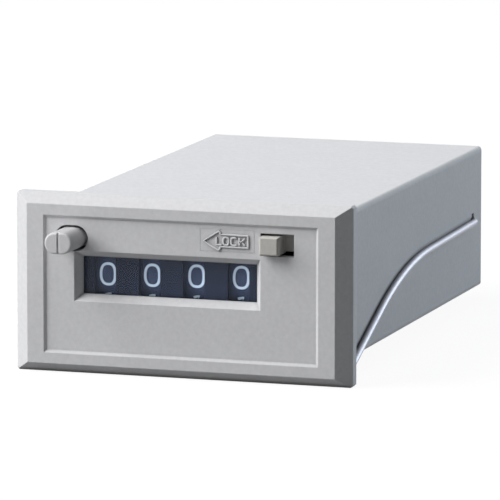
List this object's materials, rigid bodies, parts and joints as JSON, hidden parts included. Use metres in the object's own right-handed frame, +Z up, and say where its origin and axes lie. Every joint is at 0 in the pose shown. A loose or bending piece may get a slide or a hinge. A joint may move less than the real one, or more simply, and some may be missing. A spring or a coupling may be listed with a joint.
{
  "type": "panel counter",
  "caption": "Panel mounted electromagnetic counter with number wheels behind a window, a push reset, a sliding reset lock and a hinged wire mounting spring.",
  "frame": {"origin": "centre of the bezel's rear face, which rests on the panel", "axes": "+X to the right seen from the front, +Y back through the panel along the housing, +Z up"},
  "size_m": [0.06, 0.1023, 0.0308],
  "materials": {
    "case_plastic": "fine moulded texture, light grey",
    "button_plastic": "smooth moulded, light grey",
    "knob_plastic": "smooth moulded, cream",
    "lens_clear": "clear polished pane",
    "wheel_plastic": "satin, dark blue black with pale figures",
    "pinion_plastic": "natural moulded",
    "cover_plastic": "moulded, mid grey",
    "frame_plastic": "moulded, dark grey",
    "spring_steel": "bright drawn wire",
    "shaft_steel": "ground",
    "screw_steel": "plated",
    "terminal_brass": "stamped",
    "magnet_iron": "plated soft iron",
    "bobbin_plastic": "moulded",
    "winding_copper": "enamelled copper wire",
    "lead_insulation": "insulated lead"
  },
  "bodies": {
    "case": {"front_bezel": "case_plastic", "window_lens": "lens_clear", "figure_mask": "wheel_plastic", "housing": "case_plastic", "rear_cover": "cover_plastic", "terminal_plates": "terminal_brass", "terminal_screws": "screw_steel", "mechanism_frame": "frame_plastic", "wheel_shaft": "shaft_steel", "pinion_shaft": "shaft_steel", "armature_pin": "shaft_steel", "reset_spring": "spring_steel", "return_spring": "spring_steel", "coil_bobbin": "bobbin_plastic", "coil_winding": "winding_copper", "magnet_core": "magnet_iron", "magnet_yoke": "magnet_iron", "yoke_screws": "screw_steel", "coil_leads": "lead_insulation"},
    "button": {"reset_button": "button_plastic"},
    "mounting_bail": {"mounting_spring": "spring_steel"},
    "lock": {"lock_slider": "knob_plastic", "lock_bar": "shaft_steel"},
    "reset_lever": {"reset_comb": "frame_plastic", "reset_arm": "frame_plastic", "reset_shaft": "shaft_steel"},
    "armature_plate": {"armature": "magnet_iron"},
    "thousands_wheel": {"number_wheel_thousands": "wheel_plastic"},
    "hundreds_wheel": {"number_wheel_hundreds": "wheel_plastic"},
    "tens_wheel": {"number_wheel_tens": "wheel_plastic"},
    "units_wheel": {"number_wheel_units": "wheel_plastic"},
    "thousands_pinion": {"transfer_pinion_thousands": "pinion_plastic"},
    "hundreds_pinion": {"transfer_pinion_hundreds": "pinion_plastic"},
    "tens_pinion": {"transfer_pinion_tens": "pinion_plastic"}
  },
  "joints": [
    {"name": "button_push", "type": "slide", "parent": "case", "child": "button", "axis": [0, 1, 0], "range_m": [0, 0.0025], "stiffness_N_per_m": 200, "springref_m": -0.002, "deforming": ["reset_spring"]},
    {"name": "lock_slide", "type": "slide", "parent": "case", "child": "lock", "axis": [1, 0, 0], "range_m": [0, 0.0019]},
    {"name": "reset_turn", "type": "hinge", "parent": "case", "child": "reset_lever", "pos_m": [0, 0.0193, 0.0092], "axis": [1, 0, 0], "range_deg": [0, 11.5]},
    {"name": "armature_swing", "type": "hinge", "parent": "case", "child": "armature_plate", "pos_m": [-0.002, 0.0349, -0.0082], "axis": [1, 0, 0], "range_deg": [-4.5, 0], "stiffness_Nm_per_rad": 0.02, "springref_deg": 5.73, "deforming": ["return_spring"]},
    {"name": "bail_swing", "type": "hinge", "parent": "case", "child": "mounting_bail", "pos_m": [0, 0.08555, 0], "axis": [1, 0, 0], "range_deg": [0, 30]},
    {"name": "thousands_wheel_spin", "type": "hinge", "parent": "case", "child": "thousands_wheel", "pos_m": [0, 0.0093, 0.00155], "axis": [1, 0, 0], "continuous": true},
    {"name": "hundreds_wheel_spin", "type": "hinge", "parent": "case", "child": "hundreds_wheel", "pos_m": [0, 0.0093, 0.00155], "axis": [1, 0, 0], "continuous": true},
    {"name": "tens_wheel_spin", "type": "hinge", "parent": "case", "child": "tens_wheel", "pos_m": [0, 0.0093, 0.00155], "axis": [1, 0, 0], "continuous": true},
    {"name": "units_wheel_spin", "type": "hinge", "parent": "case", "child": "units_wheel", "pos_m": [0, 0.0093, 0.00155], "axis": [1, 0, 0], "continuous": true},
    {"name": "thousands_pinion_spin", "type": "hinge", "parent": "case", "child": "thousands_pinion", "pos_m": [0, 0.01587, -0.00628], "axis": [1, 0, 0], "continuous": true},
    {"name": "hundreds_pinion_spin", "type": "hinge", "parent": "case", "child": "hundreds_pinion", "pos_m": [0, 0.01587, -0.00628], "axis": [1, 0, 0], "continuous": true},
    {"name": "tens_pinion_spin", "type": "hinge", "parent": "case", "child": "tens_pinion", "pos_m": [0, 0.01587, -0.00628], "axis": [1, 0, 0], "continuous": true}
  ],
  "couplings": [
    {"joint": "reset_turn", "follows": "button_push", "rad_per_m": 80},
    {"joint": "thousands_pinion_spin", "follows": "thousands_wheel_spin", "ratio": -2.5},
    {"joint": "hundreds_pinion_spin", "follows": "hundreds_wheel_spin", "ratio": -2.5},
    {"joint": "tens_pinion_spin", "follows": "tens_wheel_spin", "ratio": -2.5}
  ]
}
